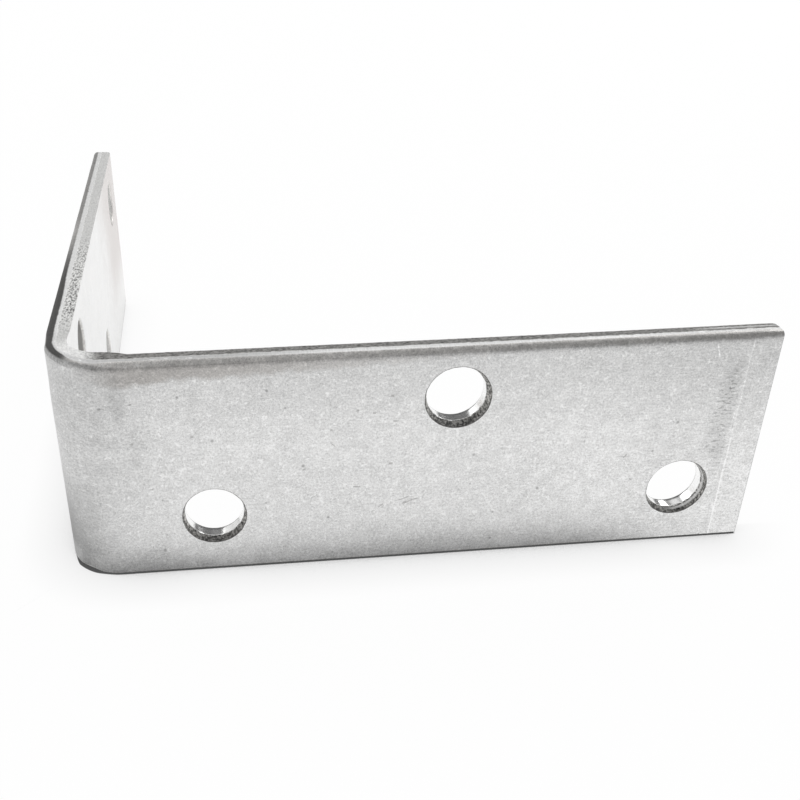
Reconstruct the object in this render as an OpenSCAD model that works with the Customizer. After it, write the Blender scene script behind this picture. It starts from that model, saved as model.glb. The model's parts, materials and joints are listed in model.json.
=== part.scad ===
// Angle bracket: one punched strip of galvanised steel, folded once to a right angle.
// It stands on its lower long edge. X runs along the front leg, Y along the side leg,
// both outer faces look towards -Y and -X, and the origin is under the middle of its box.

/* [Legs] */
// Length of the front leg, from the outer corner to its free end
front_leg = 60; // [58:1:120]
// Length of the side leg, from the outer corner to its free end
side_leg = 60; // [58:1:120]
// Width of the strip, which is the height of the standing bracket
strip_w = 20; // [16:0.5:40]
// Thickness of the sheet
sheet_t = 2; // [1.6:0.1:3]
// Radius inside the fold
fold_r = 2.65; // [1:0.05:6]
// How far the top edge swells up inside the fold, where the bend squeezed it
fold_swell = 0.25; // [0.1:0.05:0.4]
// How far the bottom edge is drawn up outside the fold, where the bend stretched it
fold_lift = 0.3; // [0.2:0.05:0.6]

/* [Sheared edges] */
// Radius where the shear drew the sheet in: outer face at the top, inner face at the bottom
roll_r = 0.7; // [0.2:0.05:0.8]
// Part of the thickness that broke off behind the burnished land
break_t = 0.85; // [0.4:0.05:1]
// How far the broken part falls back from the land
break_lean = 0.12; // [0.02:0.01:0.2]
// Radius at the inner face of both cropped free ends
end_roll_r = 0.4; // [0.1:0.05:0.8]

/* [Punched holes] */
// Diameter of the burnished wall, which is the size that a screw meets
hole_d = 5; // [3:0.1:6]
// How far the break-out at the outer face is wider than the wall, on the radius
hole_flare = 0.25; // [0.05:0.05:0.5]
// Depth of the break-out, from the outer face
hole_flare_h = 0.8; // [0.3:0.05:1]
// Radius where the punch went in, at the inner face
hole_roll_r = 0.25; // [0.1:0.05:0.4]
// Outer corner to the first hole of each leg
hole_first = 12.8; // [12.5:0.1:16]
// Distance between holes along a leg
hole_pitch = 20.3; // [8:0.1:21]
// Least distance between the last hole and the free end
hole_end_gap = 6; // [5:0.1:10]
// Bottom edge to the lower row of holes
row_low = 5.5; // [4.5:0.1:7]
// Top edge to the upper row of holes
row_high = 4.4; // [4.2:0.1:7]

/* [Hidden] */
$fn = 96;
// Extra length of a cutter past the face that it cuts
over = 1;
fold_outer_r = fold_r + sheet_t;
wall_r = hole_d / 2;
// The swelling is a cap of a large ball, which meets the top plane in a circle inside the drawn-in rim
swell_from_axis = 0.15 * (fold_outer_r - roll_r);
swell_reach = 0.8 * (fold_outer_r - roll_r);
swell_top = fold_swell / (1 - pow((fold_r - swell_from_axis) / swell_reach, 2));
swell_ball_r = (swell_reach * swell_reach + swell_top * swell_top) / (2 * swell_top);
swell_place = fold_outer_r - swell_from_axis / sqrt(2);
// Distances along the line that halves the fold, from the sharp outer corner
lift_start = fold_outer_r / sqrt(2);
lift_end = fold_outer_r * (sqrt(2) - 1);
lift_angle = atan(fold_lift / (lift_start - lift_end));
steel_colour = [0.78, 0.78, 0.77];

// Square corner at the origin less the quarter circle that rounds it
module corner_waste(r) {
    difference() {
        translate([-over, -over])
            square(r + over);
        translate([r, r])
            circle(r = r);
    }
}

// Wedge that the break takes off behind the land, for an edge along X from x = 0
module break_waste() {
    polygon([
        [0, -over],
        [0, 0],
        [break_t + over, break_lean * (1 + over / break_t)],
        [break_t + over, -over]
    ]);
}

// Section of the strip: x from the outer face to the inner face, y up
module strip_section() {
    difference() {
        square([sheet_t, strip_w]);
        // Top edge, drawn in at the outer face and broken at the inner face
        translate([0, strip_w])
            mirror([0, 1])
                corner_waste(roll_r);
        translate([sheet_t - break_t, strip_w])
            mirror([0, 1])
                break_waste();
        // Bottom edge, sheared from the other side
        translate([sheet_t, 0])
            mirror([1, 0])
                corner_waste(roll_r);
        translate([break_t, 0])
            mirror([1, 0])
                break_waste();
    }
}

// Straight strip along X from the end of the fold, with its cropped free end
module flat_strip(leg_len) {
    difference() {
        translate([fold_outer_r, 0, 0])
            rotate([90, 0, 90])
                linear_extrude(height = leg_len - fold_outer_r)
                    strip_section();
        translate([leg_len, sheet_t, -over])
            rotate([0, 0, 180])
                linear_extrude(height = strip_w + 2 * over)
                    corner_waste(end_roll_r);
    }
}

// Quarter turn between the legs, with the outer corner of its bottom edge drawn up
module fold() {
    difference() {
        translate([fold_outer_r, fold_outer_r, 0])
            rotate([0, 0, 180])
                rotate_extrude(angle = 90)
                    translate([fold_outer_r, 0])
                        mirror([1, 0])
                            strip_section();
        rotate([0, 0, 45])
            translate([lift_start, 0, 0])
                rotate([0, lift_angle, 0])
                    translate([-2 * fold_outer_r, -fold_outer_r, -over])
                        cube([2 * fold_outer_r, 2 * fold_outer_r, over]);
    }
}

// Plan of the corner from this depth below the outer faces inwards
module corner_plan(depth, reach) {
    translate([depth, depth])
        difference() {
            square(reach);
            corner_waste(fold_outer_r - depth);
        }
}

// Swelling of the top edge behind the drawn-in rim
module fold_swelling() {
    reach = swell_place + swell_reach;
    intersection() {
        translate([0, 0, strip_w - over])
            linear_extrude(height = over + 2 * swell_top)
                difference() {
                    corner_plan(roll_r, reach);
                    corner_plan(sheet_t, reach + over);
                }
        translate([swell_place, swell_place, strip_w + swell_top - swell_ball_r])
            sphere(r = swell_ball_r);
    }
}

// Cutter of one punched hole along Z, with the outer face at z = 0 and the inner face above it
module punched_hole() {
    flare_slope = hole_flare / hole_flare_h;
    translate([0, 0, -over])
        cylinder(r = wall_r, h = sheet_t + 2 * over);
    translate([0, 0, -over])
        cylinder(r1 = wall_r + flare_slope * (hole_flare_h + over), r2 = wall_r, h = hole_flare_h + over);
    translate([0, 0, sheet_t])
        rotate_extrude()
            difference() {
                translate([0, -hole_roll_r])
                    square([wall_r + hole_roll_r, hole_roll_r + over]);
                translate([wall_r + hole_roll_r, -hole_roll_r])
                    circle(r = hole_roll_r);
            }
}

// Holes of one leg, alternately in two rows
module leg_holes(leg_len, first_is_low) {
    last = floor((leg_len - hole_first - hole_end_gap) / hole_pitch);
    for (i = [0 : last]) {
        low = (i % 2 == 0) == first_is_low;
        translate([hole_first + i * hole_pitch, 0, low ? row_low : strip_w - row_high])
            rotate([-90, 0, 0])
                punched_hole();
    }
}

module leg(leg_len, first_is_low) {
    difference() {
        flat_strip(leg_len);
        leg_holes(leg_len, first_is_low);
    }
}

module angle_bracket() {
    color(steel_colour)
        translate([-front_leg / 2, -side_leg / 2, 0]) {
            leg(front_leg, true);
            mirror([1, -1, 0])
                leg(side_leg, false);
            fold();
            fold_swelling();
        }
}

angle_bracket();
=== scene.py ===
import json
import math

import bpy
import numpy as np
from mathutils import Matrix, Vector, noise
from mathutils.geometry import delaunay_2d_cdt


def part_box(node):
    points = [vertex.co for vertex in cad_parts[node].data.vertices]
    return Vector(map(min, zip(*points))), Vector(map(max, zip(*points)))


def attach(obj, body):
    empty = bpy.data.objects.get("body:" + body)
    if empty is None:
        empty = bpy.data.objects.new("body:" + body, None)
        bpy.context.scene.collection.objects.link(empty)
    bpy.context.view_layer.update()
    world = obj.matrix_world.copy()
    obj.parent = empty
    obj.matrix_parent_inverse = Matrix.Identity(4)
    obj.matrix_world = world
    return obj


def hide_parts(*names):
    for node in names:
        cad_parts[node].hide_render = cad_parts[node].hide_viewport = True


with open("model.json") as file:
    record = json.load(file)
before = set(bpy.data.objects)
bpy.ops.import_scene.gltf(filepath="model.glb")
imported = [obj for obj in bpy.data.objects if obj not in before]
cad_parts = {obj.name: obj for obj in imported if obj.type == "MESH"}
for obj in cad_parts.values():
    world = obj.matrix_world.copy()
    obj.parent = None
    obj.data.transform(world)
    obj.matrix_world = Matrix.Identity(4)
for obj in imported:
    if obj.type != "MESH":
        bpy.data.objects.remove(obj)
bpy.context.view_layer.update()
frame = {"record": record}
mm = 0.001


# Shader helpers: Wire holds one output socket, addNode makes every node

class Wire:
    def __init__(self, socket):
        self.socket = socket

    def out(self, name):
        return Wire(self.socket.node.outputs[name])

    def maths(self, operation, *values):
        settings = {"operation": operation}
        return addNode(self.socket.id_data, "ShaderNodeMath", settings, dict(enumerate(values)))

    def __add__(self, other):
        return self.maths("ADD", self, other)

    def __radd__(self, other):
        return self.maths("ADD", other, self)

    def __sub__(self, other):
        return self.maths("SUBTRACT", self, other)

    def __rsub__(self, other):
        return self.maths("SUBTRACT", other, self)

    def __mul__(self, other):
        return self.maths("MULTIPLY", self, other)

    def __rmul__(self, other):
        return self.maths("MULTIPLY", other, self)

    def __truediv__(self, other):
        return self.maths("DIVIDE", self, other)

    def __pow__(self, other):
        return self.maths("POWER", self, other)

    def __abs__(self):
        return self.maths("ABSOLUTE", self)

    def atLeast(self, other):
        return self.maths("MAXIMUM", self, other)

    def step(self, start, end, low=0.0, high=1.0):  # smooth step from low to high, also downhill
        settings = {"interpolation_type": "SMOOTHSTEP"}
        inputs = {"Value": self, "From Min": start, "From Max": end, "To Min": low, "To Max": high}
        return addNode(self.socket.id_data, "ShaderNodeMapRange", settings, inputs)

    def between(self, start, full, fade, end):
        return self.step(start, full) * self.step(end, fade)

    def near(self, start, full):  # 1 around zero
        return abs(self).step(start, full)

    def scaled(self, factors):  # vector times vector
        settings = {"operation": "MULTIPLY"}
        return addNode(self.socket.id_data, "ShaderNodeVectorMath", settings, {0: self, 1: factors})


def addNode(tree, kind, settings=None, inputs=None, output=0):
    node = tree.nodes.new(kind)
    for name, value in (settings or {}).items():
        if name == "stops":
            ramp = node.color_ramp
            while len(ramp.elements) < len(value):
                ramp.elements.new(0.5)
            for element, (place, grey) in zip(ramp.elements, value):
                element.position = place
                element.color = (grey, grey, grey, 1)
        else:
            setattr(node, name, value)
    for name, value in (inputs or {}).items():
        socket = node.inputs[name]
        if isinstance(value, Wire):
            tree.links.new(value.socket, socket)
        else:
            socket.default_value = value + (1.0,) if socket.type == "RGBA" else value
    return Wire(node.outputs[output]) if node.outputs else None


def mixColours(tree, factor, first, second, blend="MIX"):
    settings = {"data_type": "RGBA", "blend_type": blend}
    return addNode(tree, "ShaderNodeMix", settings, {0: factor, 6: first, 7: second}, output=2)


def shaded(tree, colour, tone):  # colour times a grey value
    grey = addNode(tree, "ShaderNodeCombineColor", inputs={0: tone, 1: tone, 2: tone})
    return mixColours(tree, 1.0, colour, grey, "MULTIPLY")


def noiseAt(tree, place, scale, detail=2.0, roughness=0.5):
    inputs = {"Vector": place, "Scale": scale, "Detail": detail, "Roughness": roughness}
    return addNode(tree, "ShaderNodeTexNoise", {"noise_dimensions": "3D"}, inputs)


def meshValues(tree, name):
    return addNode(tree, "ShaderNodeAttribute", {"attribute_name": name}, output="Vector")


def apart(tree, vector):
    split = addNode(tree, "ShaderNodeSeparateXYZ", inputs={0: vector})
    return split.out("X"), split.out("Y"), split.out("Z")


def newMaterial(name):
    material = bpy.data.materials.new(name)
    material.use_nodes = True
    material.node_tree.nodes.clear()
    return material, material.node_tree


def addToScene(name, data):
    thing = bpy.data.objects.new(name, data)
    bpy.context.scene.collection.objects.link(thing)
    return thing


# The strip: built flat as along the strip, up its width and into its thickness, all in mm, then folded

bracket = {
    "width": 20.0, "thick": 2.0, "foldRadius": 2.65,
    "foldSwell": 0.25,         # top edge squeezed up inside the fold
    "swellReach": 0.8, "swellOffset": 0.15,   # of the radius to the drawn-in band
    "swellBlend": 0.02, "swellSettle": 0.001,   # softens where the swelling starts
    "foldLift": 0.40,          # bottom edge drawn up outside the fold
    "liftTurn": 52, "liftSpan": 20,   # degrees round from the side leg, and to either side
    "foldPull": 0.50, "pullFrom": 15.0,   # the stretched side of the fold is drawn in towards the top
    "foldThin": 0.12, "thinFrom": 3.0,    # and a little thinner all the way down, from before the fold
    "rollRadius": 0.7, "breakDepth": 0.85, "topLean": 0.03, "lowLean": 0.12, "endRoll": 0.4,
    "sideRoll": 0.75, "lastRoll": 0.75,   # shares of the radius on the side leg and at the free end
    "flare": 0.25, "flareDepth": 0.8, "holeRoll": 0.25,
    "flareShares": {"front_hole_near_fold": 0.68, "front_hole_near_end": 0.85},
    "landEnds": (1.0, 1.02),   # depth where the land ends, on the side leg and on the front leg
    "endRise": 0.07,           # top edge a little higher towards the free end
    "softRim": 0.06,           # tiny bevel where a real edge isn't razor sharp
    "rollWaver": 0.05,         # how much the drawn-in band widens and narrows
    "breakGrain": 0.03,        # depth of the torn grain
    "edgeStep": 0.25, "foldStep": 0.15, "faceStep": 0.5, "arcSteps": 9, "smallArcSteps": 6,
    "holeSides": 128, "levelGap": 0.012, "rimGap": 0.75, "foldMargin": 0.3, "sharpTurn": 16,
    "wallLevels": (0.2, 0.4, 0.6, 1.2, 1.5),   # rings down the wall of a hole, besides those of its forms
    "holeRows": ((0.1, 128), (0.25, 96), (0.5, 64)),   # rows of points round each hole: gap, count
}

lowCorner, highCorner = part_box("angle_bracket")
frontLength = (highCorner.x - lowCorner.x) / mm
sideLength = (highCorner.y - lowCorner.y) / mm
stripWidth, thick = bracket["width"], bracket["thick"]
foldOuter = bracket["foldRadius"] + thick
sideFlat = sideLength - foldOuter
foldArc = (foldOuter - thick / 2) * math.pi / 2
stripLength = sideFlat + foldArc + frontLength - foldOuter


def roundInset(gap, radius):  # how far a quarter round stands back at this gap from its start
    left = np.clip(1 - gap / radius, 0, 1)
    return radius * (1 - np.sqrt(1 - left ** 2))


def rimInset(gap):
    return np.clip(bracket["softRim"] - gap, 0, None)


def shearInset(gap, roll, grain, lean):  # gap is the depth below the face that the blade met first
    broken = np.clip((gap - thick + bracket["breakDepth"]) / bracket["breakDepth"], 0, 1)
    torn = lean * broken + bracket["breakGrain"] * grain * np.minimum(broken * 4, 1)
    return roundInset(gap, roll) + torn + rimInset(thick - gap)


def foldTurn(along):
    return np.clip((along - sideFlat) / foldArc, 0, 1) * math.pi / 2


def planPlaces(along, depth):  # x and y from the sharp outer corner
    turn, reach = foldTurn(along), foldOuter - depth
    before = np.clip(sideFlat - along, 0, None)
    after = np.clip(along - sideFlat - foldArc, 0, None)
    return foldOuter - reach * np.cos(turn) + after, foldOuter - reach * np.sin(turn) + before


landRadius = foldOuter - bracket["rollRadius"]
swellReach, swellOffset = bracket["swellReach"] * landRadius, bracket["swellOffset"] * landRadius
swellTop = bracket["foldSwell"] / (1 - ((bracket["foldRadius"] - swellOffset) / swellReach) ** 2)
swellBall = (swellReach ** 2 + swellTop ** 2) / (2 * swellTop)
liftTurn = math.radians(bracket["liftTurn"])
liftSpan = math.cos(math.radians(bracket["liftSpan"]))
liftFrom = foldOuter * (math.cos(liftTurn) + math.sin(liftTurn) - liftSpan)
liftSlope = bracket["foldLift"] / (foldOuter * (1 - liftSpan))


def swollenTop(along, depth, top):  # a large ball's cap over the squeezed side of the fold
    x, y = planPlaces(along, depth)
    place = foldOuter - swellOffset / math.sqrt(2)
    across = np.minimum((x - place) ** 2 + (y - place) ** 2, swellBall ** 2)
    gap = stripWidth + swellTop - swellBall + np.sqrt(swellBall ** 2 - across) - top
    return top + 0.5 * (gap + np.sqrt(gap ** 2 + bracket["swellBlend"] ** 2)) - bracket["swellSettle"]


def liftedLow(along, depth, low):
    x, y = planPlaces(along, depth)
    return np.maximum(low, (liftFrom - x * math.cos(liftTurn) - y * math.sin(liftTurn)) * liftSlope)


def holeRadius(hole, depth):
    flared = hole["flare"] * np.clip(1 - depth / bracket["flareDepth"], 0, 1)
    return hole["wall"] + flared + roundInset(thick - depth, bracket["holeRoll"]) + rimInset(depth)


def smoothRise(share):
    return share * share * (3 - 2 * share)


def foldStrip(strip):  # strip places to the part's frame
    along, up, depth = strip.T
    x, y = planPlaces(along, depth)
    turn = foldTurn(along)
    rise = np.clip((up - bracket["pullFrom"]) / (stripWidth - bracket["pullFrom"]), 0, 1)
    before = np.clip((along - sideFlat + bracket["thinFrom"]) / bracket["thinFrom"], 0, 1)
    pull = bracket["foldPull"] * np.sin(2 * turn) * smoothRise(rise)
    pull = (pull + bracket["foldThin"] * smoothRise(before) * np.cos(turn)) * (1 - depth / thick)
    x, y = x + pull * np.cos(turn), y + pull * np.sin(turn)
    return np.stack([x + lowCorner.x / mm, y + lowCorner.y / mm, up], 1) * mm


def holePlaces():  # centres in the flat strip, from the record's mounts
    holes = []
    for mount in frame["record"]["mounts"]:
        if mount["kind"] != "bore":
            continue
        x, y, z = [value / mm for value in mount["pos_m"]]
        if mount["name"].startswith("front"):
            along = sideFlat + foldArc + (x - lowCorner.x / mm) - foldOuter
        else:
            along = sideLength - (y - lowCorner.y / mm)
        flare = bracket["flare"] * bracket["flareShares"].get(mount["name"], 1)
        holes.append({"along": along, "up": z, "wall": mount["dims"]["r_mm"], "flare": flare})
    return holes


def arcLevels(radius, steps):
    return [radius * (1 - math.cos(step / steps * math.pi / 2)) for step in range(steps + 1)]


def tidyLevels(levels):
    kept = []
    for level in sorted(levels):
        if not kept or level - kept[-1] > bracket["levelGap"]:
            kept.append(level)
    kept[-1] = thick
    return kept


def edgeLevels():
    roll = arcLevels(bracket["rollRadius"], bracket["arcSteps"])
    endRoll = arcLevels(bracket["endRoll"], bracket["smallArcSteps"])
    levels = roll + [thick - level for level in roll + endRoll]
    return tidyLevels(levels + [bracket["softRim"], thick - bracket["softRim"],
                                bracket["breakDepth"], thick - bracket["breakDepth"]])


def holeLevels():
    roll = arcLevels(bracket["holeRoll"], bracket["smallArcSteps"])
    levels = [0, bracket["softRim"], bracket["flareDepth"], bracket["flareDepth"] + 0.04]
    return tidyLevels(levels + list(bracket["wallLevels"]) + [thick - level for level in roll])


def besideFold(along):
    margin = bracket["foldMargin"]
    return (along > sideFlat - margin) & (along < sideFlat + foldArc + margin)


def alongStrip():  # finer steps through the fold
    marks = [0.0]
    while marks[-1] < stripLength:
        marks.append(marks[-1] + bracket["foldStep" if besideFold(marks[-1]) else "edgeStep"])
    return np.array(marks) * stripLength / marks[-1]


def sheetOutline():  # once round the sheet: place along the strip, share of the width, and which edge
    along = alongStrip()
    upward = np.linspace(0, 1, int(stripWidth / bracket["edgeStep"]))
    sides = [(place, 0.0, "bottom") for place in along[:-1]]
    sides += [(stripLength, share, "end") for share in upward[:-1]]
    sides += [(place, 1.0, "top") for place in along[:0:-1]]
    sides += [(0.0, share, "end") for share in upward[:0:-1]]
    places, shares, kinds = zip(*sides)
    return np.array(places), np.array(shares), np.array(kinds)


def unevenness(x, y, z=0.0):
    return noise.noise(Vector((x, y, z)))


def edgeRings(nominal, raised, levels):  # the sheet's outline at each depth
    waverTop = np.array([unevenness(place * 0.22, 3.1) + 0.5 * unevenness(place * 0.7, 8.4) for place in nominal])
    waverLow = np.array([unevenness(place * 0.22, 13.1) for place in nominal])
    rollTop = bracket["rollRadius"] * (1 + bracket["rollWaver"] * 1.6 * waverTop)
    rollTop = rollTop * np.interp(nominal, (sideFlat - 3, sideFlat + foldArc), (bracket["sideRoll"], 1))
    rollTop = rollTop * np.interp(nominal, (stripLength - 2.5, stripLength), (1, bracket["lastRoll"]))
    rollLow = bracket["rollRadius"] * (1 + bracket["rollWaver"] * waverLow)
    rise = bracket["endRise"] * np.interp(nominal, (stripLength - 20, stripLength - 2), (0, 1))
    rings = []
    for level in levels:
        grain = np.array([0.5 + 0.5 * unevenness(place * 4.0, level * 5.0, share * 7.0)
                          for place, share in zip(nominal, raised)])
        ends = roundInset(thick - level, bracket["endRoll"]) + rimInset(np.array(level))
        along = ends + nominal * (stripLength - 2 * ends) / stripLength
        top = stripWidth + rise - shearInset(np.array(level), rollTop, grain, bracket["topLean"])
        if level >= bracket["rollRadius"]:
            top = swollenTop(along, level, top)
        low = liftedLow(along, level, shearInset(thick - np.array(level), rollLow, grain, bracket["lowLean"]))
        rings.append(np.stack([along, low + raised * (top - low), np.full(len(nominal), level)], 1))
    return rings


def holeRings(hole, turns, levels):
    rings = []
    for level in levels:
        radius = holeRadius(hole, np.array(level))
        if level < bracket["flareDepth"] - 0.01:
            torn = np.array([unevenness(6 * math.cos(turn) + hole["along"], 6 * math.sin(turn), level * 4)
                             for turn in turns])
            radius = radius + bracket["breakGrain"] * torn * min(1, (bracket["flareDepth"] - level) * 4)
        rings.append(np.stack([hole["along"] + radius * np.cos(turns), hole["up"] + radius * np.sin(turns),
                               np.full(len(turns), level)], 1))
    return rings


def facePoints(outline, holes, depth):  # points inside one wide face
    lowest, highest = np.percentile(outline[:, 1], (25, 75))
    columns = alongStrip()
    columns = columns[besideFold(columns) | (np.arange(len(columns)) % 2 == 0)]
    columns = columns[(columns > bracket["rimGap"]) & (columns < stripLength - bracket["rimGap"])]
    rows = np.linspace(lowest + 0.55, highest - 0.75, int((highest - lowest) / bracket["faceStep"]))
    points = [(column, row) for column in columns for row in rows]
    points += [(column, row) for row in (lowest + 0.22, highest - 0.3) for column in columns]
    for hole in holes:
        keep = holeRadius(hole, np.array(depth)) + bracket["rimGap"]
        points = [p for p in points if math.hypot(p[0] - hole["along"], p[1] - hole["up"]) > keep]
    for hole in holes:
        radius = holeRadius(hole, np.array(depth))
        for gap, count in bracket["holeRows"]:
            for number in range(count):
                angle = (number + 0.5) * 2 * math.pi / count
                points.append((hole["along"] + (radius + gap) * math.cos(angle),
                               hole["up"] + (radius + gap) * math.sin(angle)))
    return points


def inHole(along, up, hole, ring):
    gap = math.hypot(along - hole["along"], up - hole["up"])
    radius = np.hypot(ring[:, 0] - hole["along"], ring[:, 1] - hole["up"]).mean()
    return gap < radius * math.cos(math.pi / bracket["holeSides"])


def wideFace(loops, points, kinds, holes):  # triangles between the outline, the holes and the points inside
    outline = loops[0]
    fixed = [tuple(place) for loop in loops for place in loop]
    edges, base = [], 0
    for loop in loops:
        edges += [(base + i, base + (i + 1) % len(loop)) for i in range(len(loop))]
        base += len(loop)
    merged = [Vector(point) for point in fixed + points]
    places, _, triangles, origins, _, _ = delaunay_2d_cdt(merged, edges, [], 0, 1e-7)
    top, low = outline[kinds == "top"][::-1], outline[kinds == "bottom"]
    kept = []
    for triangle in triangles:
        along = sum(places[index].x for index in triangle) / 3
        up = sum(places[index].y for index in triangle) / 3
        if np.interp(along, low[:, 0], low[:, 1]) <= up <= np.interp(along, top[:, 0], top[:, 1]):
            if not any(inHole(along, up, hole, ring) for hole, ring in zip(holes, loops[1:])):
                kept.append([origins[index][0] for index in triangle])
    return kept


def makeBracketMesh():
    holes, sides = holePlaces(), bracket["holeSides"]
    levels, wallLevels = edgeLevels(), holeLevels()
    nominal, raised, kinds = sheetOutline()
    count = len(nominal)
    strip = np.concatenate(edgeRings(nominal, raised, levels))
    faces, groups, corners = [], [], []

    def addFace(face, group, values):  # values are the cut attribute at its corners
        faces.append(face)
        groups.append(group)
        corners.extend(values)

    for number in range(len(levels) - 1):
        for i in range(count):
            a, b = number * count + i, number * count + (i + 1) % count
            near, far = levels[number], levels[number + 1]
            if kinds[i] != "top":
                near, far = thick - near, thick - far
            landEnd = bracket["landEnds"][0 if nominal[i] < sideFlat else 1]
            values = [(near, landEnd, 0), (far, landEnd, 0), (far, landEnd, 0), (near, landEnd, 0)]
            addFace((a, a + count, b + count, b), 1, values)

    turns = np.arange(sides) * 2 * math.pi / sides
    lower = [0.5 - 0.5 * math.sin(turn) for turn in turns]   # 1 at the bottom of a hole, 0 at its top
    landEnd = thick - bracket["flareDepth"]
    holeStarts = []
    for hole in holes:
        start = len(strip)
        holeStarts.append(start)
        strip = np.concatenate([strip] + holeRings(hole, turns, wallLevels))
        for number in range(len(wallLevels) - 1):
            near, far = thick - wallLevels[number], thick - wallLevels[number + 1]
            for i in range(sides):
                j = (i + 1) % sides
                a, b = start + number * sides + i, start + number * sides + j
                values = [(near, landEnd, lower[i]), (near, landEnd, lower[j]),
                          (far, landEnd, lower[j]), (far, landEnd, lower[i])]
                addFace((a, b, b + sides, a + sides), 2, values)

    for depth, ring, wallRing in ((0.0, 0, 0), (thick, len(levels) - 1, len(wallLevels) - 1)):
        around = np.arange(sides) + wallRing * sides
        numbers = [np.arange(count) + ring * count] + [start + around for start in holeStarts]
        loops = [strip[loop, :2] for loop in numbers]
        points = facePoints(loops[0], holes, depth)
        numbers = np.concatenate(numbers + [len(strip) + np.arange(len(points))])
        for triangle in wideFace(loops, points, kinds, holes):
            corner = [int(numbers[index]) for index in triangle]
            addFace(tuple(corner[::-1] if depth > 0 else corner), 0, [(0, 0, 0)] * 3)
        strip = np.concatenate([strip, [(along, up, depth) for along, up in points]])

    mesh = bpy.data.meshes.new("bracket_sheet")
    mesh.from_pydata([tuple(place) for place in foldStrip(strip)], [], faces)
    mesh.polygons.foreach_set("material_index", np.array(groups, np.int32))
    places = mesh.attributes.new("strip", "FLOAT_VECTOR", "POINT")
    places.data.foreach_set("vector", strip.astype(np.float32).ravel())
    # depth from the face that the blade met first, depth where the land ends, and how low in a hole
    cut = mesh.attributes.new("cut", "FLOAT_VECTOR", "CORNER")
    cut.data.foreach_set("vector", np.array(corners, np.float32).ravel())
    mesh.polygons.foreach_set("use_smooth", [True] * len(mesh.polygons))
    mesh.set_sharp_from_angle(angle=math.radians(bracket["sharpTurn"]))
    mesh.update()
    if mesh.validate():
        print("bracket mesh had to be corrected")
    return mesh


sheetMesh = makeBracketMesh()
sheet = addToScene("bracket_sheet", sheetMesh)
print("bracket sheet:", len(sheetMesh.polygons), "faces")


# Zinc finish

zinc = {
    "colour": (0.83, 0.83, 0.825), "roughness": 0.42, "metallic": 0.8, "bump": 0.35,
    "cloud": 0.12, "mottle": 0.24, "flecks": 0.20, "speckle": 0.80, "grit": 0.70,
    "pitSize": 0.055, "pitShare": 0.74, "pitDark": 0.42,
    "scoreAt": 2.65, "faintAt": 2.9,      # scratches up the face, from the free end
    "nickAt": (54.6, 18.7),    # short bright scratch under the top edge
    "patchAt": 3.8,            # grained patch, from the free end
    # the inner face's near white tone is painted light
    "filmTone": (0.52, 0.49, 0.465), "farTone": (0.72, 0.68, 0.66), "insideTone": (0.97, 0.97, 0.965),
    "nickTone": (0.25, 0.245, 0.235), "insideDull": 0.55,
}
shadeAndSmudge = {  # how much darker or paler the outer face is painted: painted shade and painted light, and two smudges
    "top": 0.09, "besideFold": 0.14, "foldFoot": 0.24, "foldSide": 0.32, "endTop": 0.05, "endCorner": 0.03,
    "smudge": 0.10, "lowPale": 0.03, "endPale": 0.05,
}
frontStart = sideFlat + foldArc - foldOuter    # along the strip, where the outer corner would be


def spot(front, up, centre, reach, wander):  # soft smudge, 1 in its middle
    wide = (front - centre[0]) / reach[0]
    high = (up - centre[1]) / reach[1]
    return (wide * wide + high * high + wander * 1.6).step(1.1, 0.1)


def shadeAndSmudgePlaces(front, up, mottle):
    # painted shade: darker at the top, beside the fold, at the fold's foot and near the free end's top; painted
    # light: paler low down and mid front
    shadeAndMarks = up.step(11, 19) * shadeAndSmudge["top"] + front.step(9, 2) * shadeAndSmudge["besideFold"]
    shadeAndMarks = shadeAndMarks + front.step(5.5, 2) * up.between(0.8, 2.5, 4, 12) * shadeAndSmudge["foldFoot"]
    shadeAndMarks = shadeAndMarks + front.step(3.2, -0.6) * up.step(10, 3) * shadeAndSmudge["foldSide"]
    shadeAndMarks = shadeAndMarks + front.step(45, 50) * up.step(7, 14) * shadeAndSmudge["endTop"]
    shadeAndMarks = shadeAndMarks + front.step(50, 57) * up.step(13, 18) * shadeAndSmudge["endCorner"]
    shadeAndMarks = shadeAndMarks - front.between(34, 40, 44, 50) * up.between(6, 9, 11, 14) * shadeAndSmudge["endPale"]
    smudges = spot(front, up, (5.8, 16.8), (0.8, 2.6), mottle)
    smudges = smudges + spot(front, up, (6.9, 12.6), (0.9, 1.8), mottle)
    return shadeAndMarks + smudges * shadeAndSmudge["smudge"] - up.between(1, 3, 5, 9) * shadeAndSmudge["lowPale"]


def scratchMarks(tree, place, front, up, fromEnd):
    wander = (noiseAt(tree, place, 0.5) - 0.5) * 0.25
    score = (fromEnd - zinc["scoreAt"] + wander * 0.4 + up * 0.008).near(0.12, 0.02)
    score = score * (0.7 + up.step(12, 4) * 0.6)
    faint = (fromEnd - zinc["faintAt"] + wander + (up - 10) * 0.04).near(0.10, 0.02)
    faint = faint * up.between(4, 6, 15, 17)
    nickFront, nickUp = zinc["nickAt"]
    nick = (front - nickFront + (up - nickUp) * 0.34).near(0.09, 0.02) * up.between(18.0, 18.3, 19.1, 19.4)
    return score * 0.60 + faint * 0.2 + nick * 1.2


def pitMarks(tree, place, grit):
    pits = addNode(tree, "ShaderNodeTexVoronoi", {"feature": "F1", "voronoi_dimensions": "2D"},
                   {"Vector": place, "Scale": 0.4, "Randomness": 1.0}, output="Distance")
    chance = addNode(tree, "ShaderNodeTexWhiteNoise", {"noise_dimensions": "3D"},
                     {"Vector": pits.out("Color")}, output="Value")
    size = chance.step(zinc["pitShare"], 1.0, 0.0, zinc["pitSize"])
    return (size - pits + grit * 0.05).step(-0.02, 0.025)


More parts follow.
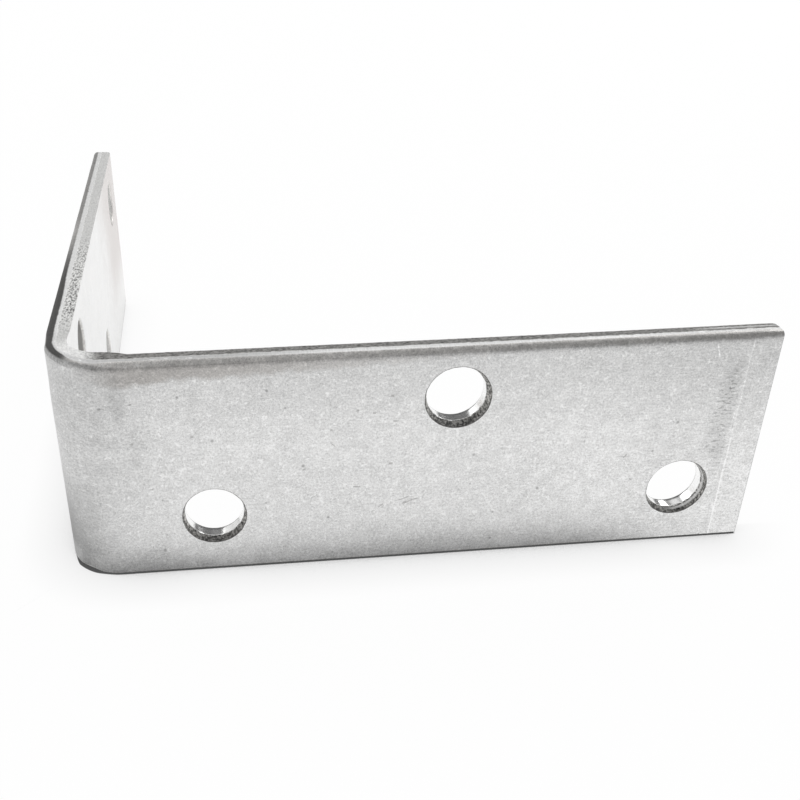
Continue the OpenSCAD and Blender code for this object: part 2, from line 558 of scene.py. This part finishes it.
def zincFace(tree):  # the zinc skin over the flat strip, as a dictionary of sockets
    place = meshValues(tree, "strip")
    along, up, depth = apart(tree, place)
    front, fromEnd = along - frontStart, stripLength - along
    outerSide = depth.step(1.2, 0.8)
    cloud = noiseAt(tree, place, 0.12, 3.0, 0.55) - 0.5
    mottle = noiseAt(tree, place, 0.8, 4.0, 0.6) - 0.5
    flecks = noiseAt(tree, place, 2.0, 3.0, 0.65).step(0.55, 0.67)
    speckle = noiseAt(tree, place, 4.6, 2.0, 0.6) - 0.5
    grit = noiseAt(tree, place, 10.0, 1.0, 0.5) - 0.5
    lines = noiseAt(tree, place.scaled((1.0, 6.0, 1.0)), 1.1) - 0.5
    dashes = noiseAt(tree, place.scaled((1.0, 3.0, 1.0)), 1.9, 2.0, 0.6).step(0.52, 0.64)
    dark = pitMarks(tree, place, grit)
    marks = scratchMarks(tree, place, front, up, fromEnd) * outerSide * (0.7 + speckle)

    patch = (abs(fromEnd - zinc["patchAt"]) + mottle * 2.0).step(1.35, 0.3) * up.between(6, 10, 15, 18.5)
    shadeAndMarks = shadeAndSmudgePlaces(front, up, mottle) + patch * (0.07 + dashes * 0.42 + speckle * 0.5)
    # painted light: paler low down at the very free end
    shadeAndMarks = shadeAndMarks - fromEnd.step(2.75, 2.6) * up.step(14, 5) * shadeAndSmudge["endPale"]
    grained = 0.10 + front.step(36, 52) * 0.26
    tone = (1 + cloud * zinc["cloud"] * 2 + mottle * zinc["mottle"] * 2 + (flecks - 0.25) * zinc["flecks"]
            + lines * grained + speckle * zinc["speckle"] + grit * zinc["grit"])
    colour = shaded(tree, zinc["colour"],
                    tone * (1 - dark * zinc["pitDark"]) * (1 + marks * 0.5) * (1 - shadeAndMarks * outerSide))

    # brownish film under the drawn-in band, deepest beside the fold
    left = front.step(42, 8)
    film = up + mottle * 1.6 + spot(front, up, (6.7, 18.6), (2.6, 1.8), mottle) * 0.4 + left * 0.95
    film = film.step(stripWidth - 0.95, stripWidth - 0.30) * outerSide
    film = film * front.step(2, 7) * (0.10 + left * 0.58)
    colour = mixColours(tree, film, colour, mixColours(tree, 1.0, colour, zinc["filmTone"], "MULTIPLY"))

    # the side leg's inner face is painted near white and less metallic, a painted reflection of the light, and
    # has a film over its far end
    inside = (1 - outerSide) * along.step(sideFlat + 4, sideFlat)
    insideLit = shaded(tree, zinc["insideTone"], 1 + cloud * 0.10 + mottle * 0.12 + speckle * 0.10)
    colour = mixColours(tree, inside * 0.82, colour, insideLit)
    farFilm = (along + mottle * 7 + cloud * 8 - up * 0.3).step(20, 5) * up.step(2, 10)
    farFilm = farFilm * (1 - outerSide) * 0.85
    colour = mixColours(tree, farFilm, colour, zinc["farTone"])
    return {
        "place": place, "along": along, "up": up, "outerSide": outerSide, "inside": inside,
        "tone": tone, "colour": colour,
        "roughness": zinc["roughness"] + mottle * 0.16 + speckle * 0.12 - marks * 0.1,
        "height": speckle * 0.5 + grit * 0.3 + mottle * 0.3 - dark * 0.6 - marks * 0.4,
    }


def finishMaterial(tree, colour, roughness, metallic, height, bump):
    normal = addNode(tree, "ShaderNodeBump", {}, {"Strength": bump, "Distance": 0.04 * mm, "Height": height})
    inputs = {"Base Color": colour, "Roughness": roughness, "Metallic": metallic, "Normal": normal}
    surface = addNode(tree, "ShaderNodeBsdfPrincipled", {}, inputs)
    addNode(tree, "ShaderNodeOutputMaterial", {}, {"Surface": surface})


# handling marks: place on the front leg, half length, half width, slope, bow
nicks = (
    (28.95, 6.12, 0.50, 0.05, 0.40, 0.15), (29.60, 5.90, 0.72, 0.05, 0.38, -0.25),
    (29.02, 5.70, 0.16, 0.07, 0.5, 0), (26.96, 5.52, 0.22, 0.06, 0.8, 0),
    (27.71, 9.73, 0.18, 0.08, 0.1, 0), (24.86, 7.59, 0.34, 0.06, -0.1, 0.3),
    (27.64, 16.11, 0.13, 0.12, 0, 0), (24.84, 14.9, 0.11, 0.10, 0, 0), (26.22, 14.61, 0.11, 0.09, 0, 0),
    (27.97, 13.76, 0.20, 0.07, 0, 0), (22.7, 13.24, 0.10, 0.09, 0, 0), (20.41, 9.6, 0.12, 0.09, 0.5, 0),
    (17.15, 6.51, 0.09, 0.08, 0, 0), (22.83, 11.83, 0.18, 0.05, -1, 0), (48.14, 9.07, 0.16, 0.10, 1, 0),
    (48.98, 6.66, 0.14, 0.10, -0.6, 0), (6.82, 16.5, 0.10, 0.09, 0, 0), (6.6, 12.9, 0.10, 0.09, 0, 0),
    (7.8, 8.5, 0.10, 0.08, 0, 0), (11.4, 13.3, 0.11, 0.09, 0, 0),
)


def nickMask(front, up):
    total = 0
    for middle, height, length, width, slope, bow in nicks:
        beside = front - middle
        above = up - height - beside * slope - beside * beside * bow
        total = above.near(width + 0.03, width * 0.3) * beside.near(length + 0.06, length * 0.6) + total
    return total


def makeZincFace():
    material, tree = newMaterial("galvanised_face")
    face = zincFace(tree)
    worn = nickMask(face["along"] - frontStart, face["up"]) * face["outerSide"]
    colour = mixColours(tree, worn * 0.55, face["colour"], zinc["nickTone"])
    metallic = zinc["metallic"] - face["inside"] * zinc["insideDull"]
    finishMaterial(tree, colour, face["roughness"], metallic, face["height"] - worn * 0.5, zinc["bump"])
    return material


# Sheared and punched finish

shear = {
    "roll": (0.76, 0.745, 0.725), "sideRoll": (0.055, 0.054, 0.052),   # drawn-in band, painted near black on the side leg: a painted dark reflection
    # speck is painted glints on the land, lip a painted highlight where the land meets the break
    "land": (0.95, 0.95, 0.945), "speck": (1.0, 1.0, 1.0), "lip": (0.9, 0.9, 0.89),
    # the break's paler tones on the side leg and the fold are painted light
    "tornSide": (0.61, 0.61, 0.60), "tornFold": (0.86, 0.86, 0.85), "tornFar": (0.8, 0.8, 0.79),
    "nearWall": (0.34, 0.335, 0.325),     # hole of the side leg beside the fold
    # painted shade: on the lower inner rim of the holes, and a thin dark line round their outer rim
    "rubbed": (0.06, 0.059, 0.057), "rim": (0.16, 0.158, 0.155),
    "metallic": 0.9, "tornRoughness": 0.62, "ragged": 0.35, "bump": 0.6,
}
edgeLooks = {
    "rollEnd": 0.50, "landRoughness": 0.42, "landDull": 0.50, "lip": 0.35, "sideDiffers": 1.0,
    "grainSize": (0.5, 1.0, 1.0), "grainSteps": (0.36, 0.58), "contrast": 0.9, "drag": 0.5,
    "torn": (0.22, 0.216, 0.208), "blotch": 0.9, "darkRim": 0.0, "sideLight": 1.0,
}
holeLooks = {
    "rollEnd": 0.24, "landRoughness": 0.17, "landDull": 0.0, "lip": 0.9, "sideDiffers": 0.0,
    "grainSize": (0.8, 0.8, 0.5), "grainSteps": (0.42, 0.60), "contrast": 1.1, "drag": 0.15,
    "torn": (0.235, 0.231, 0.222), "blotch": 1.0, "darkRim": 0.5, "sideLight": 2.3,
}


def shearZones(tree, place, along, looks):  # masks along the strip, then across the edge
    gap, landEnd, lower = apart(tree, meshValues(tree, "cut"))
    front, fromFold = along - frontStart, along - sideFlat
    onEdge, onHole = looks["sideDiffers"], 1 - looks["sideDiffers"]

    # the break is painted paler on the side leg and the fold than on the front leg: painted light, where the
    # light from behind falls along the edge
    onSide = fromFold.step(foldArc + 0.2, foldArc - 2.0) * onEdge
    onBend = fromFold.between(-5, 0, foldArc - 1, foldArc + 2) * onEdge
    # painted dark reflection on the side leg's drawn-in band, strongest near the fold, also rougher and less
    # metallic there
    stain = 0.58 + fromFold.step(-28, -14) * 0.42 + fromFold.step(-26, -32) * 0.17
    stain = stain * fromFold.step(foldArc * 0.8, foldArc * 0.4) * onEdge
    farHole = fromFold.step(-18, -24) * onHole

    wide = fromFold.between(-16, -9, 0, foldArc * 0.6)
    narrow = (fromFold - foldArc * 0.75).near(2.0, 0.5) * 0.18 - (front - 7.5).near(4, 1.5) * 0.10
    narrow = narrow - front.step(28, 42) * 0.11 - front.step(45, 57) * 0.10
    rollEnd = looks["rollEnd"] + (onSide * 0.10 + wide * 0.15 - narrow) * onEdge
    ragged = (noiseAt(tree, place, 1.6, 3.0, 0.6) - 0.5) * shear["ragged"]
    broken = gap + ragged - landEnd
    return {
        "gap": gap, "lower": lower, "front": front, "fromFold": fromFold,
        "onSide": onSide, "onFold": fromFold.step(-1, foldArc * 0.35) * onSide, "stain": stain,
        "farHole": farHole, "nearHole": fromFold.step(1, -1) * onHole * (1 - farHole),
        "rolled": (gap + stain * 0.14 - onBend * 0.20).step(0.0, 0.16),
        "landed": (gap + ragged * 0.4 - rollEnd).step(-0.08, 0.08),
        "torn": broken.step(-0.04, 0.04), "lip": broken.near(0.10, 0.02),
        "rubbed": gap.between(0.02, 0.10, 0.22, 0.32) * lower.step(0.72, 0.86) * (1 - farHole),
    }


def rollColours(tree, face, zones):
    front = zones["front"]
    tone = 1 - front.step(26, 44) * 0.20 - front.step(44, 57) * 0.12 + front.step(12, 5) * 0.2
    colour = mixColours(tree, zones["stain"], shear["roll"], shear["sideRoll"])
    return mixColours(tree, zones["rolled"], face["colour"], shaded(tree, colour, face["tone"] * tone))


def landColours(tree, place, zones, drag, looks):
    # painted glints: white specks on the land
    glintSpecks = noiseAt(tree, place.scaled((0.5, 1.0, 1.0)), 2.4, 2.0, 0.6).step(0.60, 0.68)
    front = zones["front"]
    darker = (front.between(-6, 3, 14, 24) + front.step(44, 56)) * 0.32 * looks["sideDiffers"]
    colour = shaded(tree, shear["land"], (1 + drag * looks["drag"]) * (1 - darker))
    colour = mixColours(tree, glintSpecks * 0.8, colour, shear["speck"])
    colour = mixColours(tree, zones["farHole"], colour, shear["tornFar"])
    return mixColours(tree, zones["nearHole"] * 0.9, colour, shear["nearWall"])


def tornColours(tree, place, zones, grain, looks):
    onSide, fromFold = zones["onSide"], zones["fromFold"]
    base = mixColours(tree, onSide, looks["torn"], shear["tornSide"])
    base = mixColours(tree, zones["farHole"], base, shear["tornFar"])
    base = mixColours(tree, zones["onFold"], base, shear["tornFold"])
    coarse = 1 - onSide * (0.75 - fromFold.between(-26, -18, -7, -1))
    blotch = noiseAt(tree, place.scaled((0.6, 1.0, 1.0)), 2.2, 2.0, 0.6) - 0.5
    blotch = blotch * (1 - onSide) * looks["blotch"]
    lit = 1 + zones["lower"].step(0.98, 0.6, 0.0, looks["sideLight"] - 1) * zones["front"].step(-2, 0)
    colour = shaded(tree, base, (1 + (grain - 0.7) * looks["contrast"] * coarse + blotch) * lit)
    return mixColours(tree, zones["nearHole"] * 0.9, colour, shear["nearWall"])


def makeSheared(name, looks):
    material, tree = newMaterial(name)
    face = zincFace(tree)
    place, along = face["place"], face["along"]
    zones = shearZones(tree, place, along, looks)
    gap, stain, landed, torn = zones["gap"], zones["stain"], zones["landed"], zones["torn"]
    drag = noiseAt(tree, place.scaled((1.0, 1.0, 0.12)), 7.0, 3.0, 0.6) - 0.5
    grain = noiseAt(tree, place.scaled(looks["grainSize"]), 6.0, 3.0, 0.75).step(*looks["grainSteps"])
    rollColour = rollColours(tree, face, zones)
    landColour = landColours(tree, place, zones, drag, looks)
    tornColour = tornColours(tree, place, zones, grain, looks)

    # a streak of the land's brightness lies in the break near the free end
    endGleam = (stripLength - along).step(8, 5) * (gap - 1.5).near(0.2, 0.05) * (1 - zones["onSide"])
    tornColour = mixColours(tree, endGleam * 0.7, tornColour, landColour)
    # painted shade on the lower inner rim of each hole
    landColour = mixColours(tree, zones["rubbed"] * 0.85, landColour, shear["rubbed"])
    rollColour = mixColours(tree, zones["rubbed"] * 0.85, rollColour, shear["rubbed"])
    colour = mixColours(tree, torn, mixColours(tree, landed, rollColour, landColour), tornColour)
    # painted highlight: a bright line where the land meets the break
    colour = mixColours(tree, zones["lip"] * looks["lip"] * (0.4 + grain), colour, shear["lip"])
    # painted shade: a thin dark line round the outer rim of each hole
    rim = gap.step(thick - 0.10, thick - 0.05) * looks["darkRim"]
    colour = mixColours(tree, rim, colour, shear["rim"])

    roughness = (face["roughness"] + stain * 0.35) * (1 - landed)
    roughness = roughness + landed * ((1 - torn) * looks["landRoughness"] + torn * shear["tornRoughness"])
    metallic = shear["metallic"] - zones["farHole"] * 0.3 - zones["nearHole"] * 0.7
    metallic = metallic - landed * (looks["landDull"] + torn * 0.3)
    metallic = metallic - (1 - landed) * zones["rolled"] * stain * 0.8
    height = face["height"] * (1 - landed) + torn * grain * 0.9
    height = height + landed * (1 - torn) * drag * 0.7 * looks["drag"]
    finishMaterial(tree, colour, roughness, metallic, height, shear["bump"])
    return material


sheetMesh.materials.append(makeZincFace())
sheetMesh.materials.append(makeSheared("sheared_edge", edgeLooks))
sheetMesh.materials.append(makeSheared("punched_wall", holeLooks))

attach(sheet, "root")
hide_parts("angle_bracket")
print("finishes done")


# Studio

studio = {
    "floorHalf": 3.0, "floorDrop": 0.00002, "floorColour": (0.82, 0.82, 0.82), "floorWhite": 0.97,
    "contactReach": 0.0055,    # how far out the contact shadow reaches
    "contactStops": ((0.0, 0.02), (0.38, 0.05), (0.475, 0.78), (0.62, 0.88), (1.0, 1.0)),
    "contactDepth": 2.5, "contactLeft": 1.4, "contactRight": 0.05, "contactInside": 0.2,
    "underDark": 0.075, "insideLight": 0.80,
    "worldFill": 0.85, "worldDark": 0.33, "gapDark": 0.06, "windowTowards": (0.25, 0.90, -0.35),
}
white = (1.0, 1.0, 1.0)


def underSheet(x, y):  # no light gets under the sheet, which shows where its edge is drawn up
    corner = foldOuter * mm - 0.03
    fromCorner = ((corner - x).atLeast(0) ** 2 + (corner - y).atLeast(0) ** 2) ** 0.5 - foldOuter * mm
    fromCorner = fromCorner - x.step(-0.0265, -0.0280) * y.step(-0.0255, -0.0275) * 0.00012
    fromCorner = fromCorner + x.step(-0.0292, -0.0297) * 0.00024
    under = fromCorner.between(-0.0014, -0.0010, -0.00003, 0.00003)
    return under * x.step(0.0301, 0.0299) * y.step(0.0301, 0.0299)


def makeFloor():
    half, drop = studio["floorHalf"], studio["floorDrop"]
    mesh = bpy.data.meshes.new("floor")
    mesh.from_pydata([(x, y, -drop) for x, y in ((-half, -half), (half, -half), (half, half), (-half, half))],
                     [], [(0, 1, 2, 3)])
    floor = addToScene("floor", mesh)
    material, tree = newMaterial("pale_floor")
    rays = addNode(tree, "ShaderNodeLightPath")
    camera = rays.out("Is Camera Ray")
    mirrored = rays.out("Is Glossy Ray").atLeast(rays.out("Is Transmission Ray"))
    openSky = addNode(tree, "ShaderNodeAmbientOcclusion", {"samples": 12},
                      {"Distance": studio["contactReach"]}, output="AO")
    shadow = addNode(tree, "ShaderNodeValToRGB", {"stops": studio["contactStops"]}, {"Fac": openSky})
    shadow = apart(tree, shadow)[0]
    # the contact shadow that the metal mirrors is deepest by the fold and gives way to the light at the right
    x, y, _ = apart(tree, addNode(tree, "ShaderNodeNewGeometry", output="Position"))
    depth = x.step(-0.026, -0.014, studio["contactLeft"], 1.0)
    depth = depth * x.step(0.012, 0.026, 1.0, studio["contactRight"])
    depth = depth * y.step(-0.029, -0.027, 1.0, studio["contactInside"]) * studio["contactDepth"]
    inCorner = x.step(-0.0288, -0.0285) * y.step(-0.0288, -0.0285) * studio["insideLight"]
    shadow = shadow * (1 - inCorner) + inCorner
    under = underSheet(x, y)
    strength = camera * (shadow * (1 - under) + under * studio["underDark"]) + mirrored * openSky ** depth
    lit = addNode(tree, "ShaderNodeBsdfDiffuse", {}, {"Color": studio["floorColour"]})
    glow = addNode(tree, "ShaderNodeEmission", {}, {"Color": white, "Strength": strength})
    seen = camera.atLeast(mirrored) * studio["floorWhite"]
    surface = addNode(tree, "ShaderNodeMixShader", {}, {0: seen, 1: lit, 2: glow})
    addNode(tree, "ShaderNodeOutputMaterial", {}, {"Surface": surface})
    mesh.materials.append(material)


def makeWorld():
    world = bpy.data.worlds.new("studio")
    world.use_nodes = True
    tree = world.node_tree
    tree.nodes.clear()
    rays = addNode(tree, "ShaderNodeLightPath")
    direction = addNode(tree, "ShaderNodeTexCoord", output="Generated")
    towards = addNode(tree, "ShaderNodeVectorMath", {"operation": "DOT_PRODUCT"},
                      {0: direction, 1: studio["windowTowards"]}, output="Value")
    # dark wall between the windows, which the burnished holes mirror
    x, y, z = apart(tree, direction)
    wall = z.between(-0.02, 0.03, 0.60, 0.66) * x.step(-0.46, -0.26) * y.step(0, 0.2)
    windowSide = towards.step(-0.1, 0.5, studio["worldDark"], 1.0) * (1 - wall * (1 - studio["gapDark"]))
    camera, mirrored = rays.out("Is Camera Ray"), rays.out("Is Glossy Ray")
    strength = camera + mirrored * windowSide + (1 - camera - mirrored) * studio["worldFill"]
    surface = addNode(tree, "ShaderNodeBackground", {}, {"Color": white, "Strength": strength})
    addNode(tree, "ShaderNodeOutputWorld", {}, {"Surface": surface})
    bpy.context.scene.world = world


lamps = {
    "target": (0, 0, 0.01), "size": 0.3,
    "softboxLeft": {"place": (-0.30, 0.36, 0.30), "watts": 0.42},
    "softboxRight": {"place": (0.36, 0.30, 0.30), "watts": 0.75},
}


def addLamp(name):
    light = bpy.data.lights.new(name, "AREA")
    light.shape = "RECTANGLE"
    light.size = light.size_y = lamps["size"]
    light.energy = lamps[name]["watts"]
    lamp = addToScene(name, light)
    lamp.location = lamps[name]["place"]
    towards = Vector(lamps["target"]) - Vector(lamps[name]["place"])
    lamp.rotation_euler = towards.to_track_quat("-Z", "Y").to_euler()
    lamp.visible_camera = False


photoView = {
    "place": (-0.015867, -0.104085, 0.055909), "turn": (57.29, -0.25, -6.739),
    "lens": 47.379, "sensor": 36, "shift": (0.08, 0.105), "clipStart": 0.005,
}


def makeCamera():
    camera = addToScene("camera", bpy.data.cameras.new("camera"))
    camera.location = photoView["place"]
    camera.rotation_euler = [math.radians(value) for value in photoView["turn"]]
    camera.data.lens = photoView["lens"]
    camera.data.sensor_width = photoView["sensor"]
    camera.data.shift_x, camera.data.shift_y = photoView["shift"]
    camera.data.clip_start = photoView["clipStart"]
    bpy.context.scene.camera = camera


makeFloor()
makeWorld()
addLamp("softboxLeft")
addLamp("softboxRight")
makeCamera()
bpy.context.scene.view_settings.view_transform = "Standard"
print("studio done")
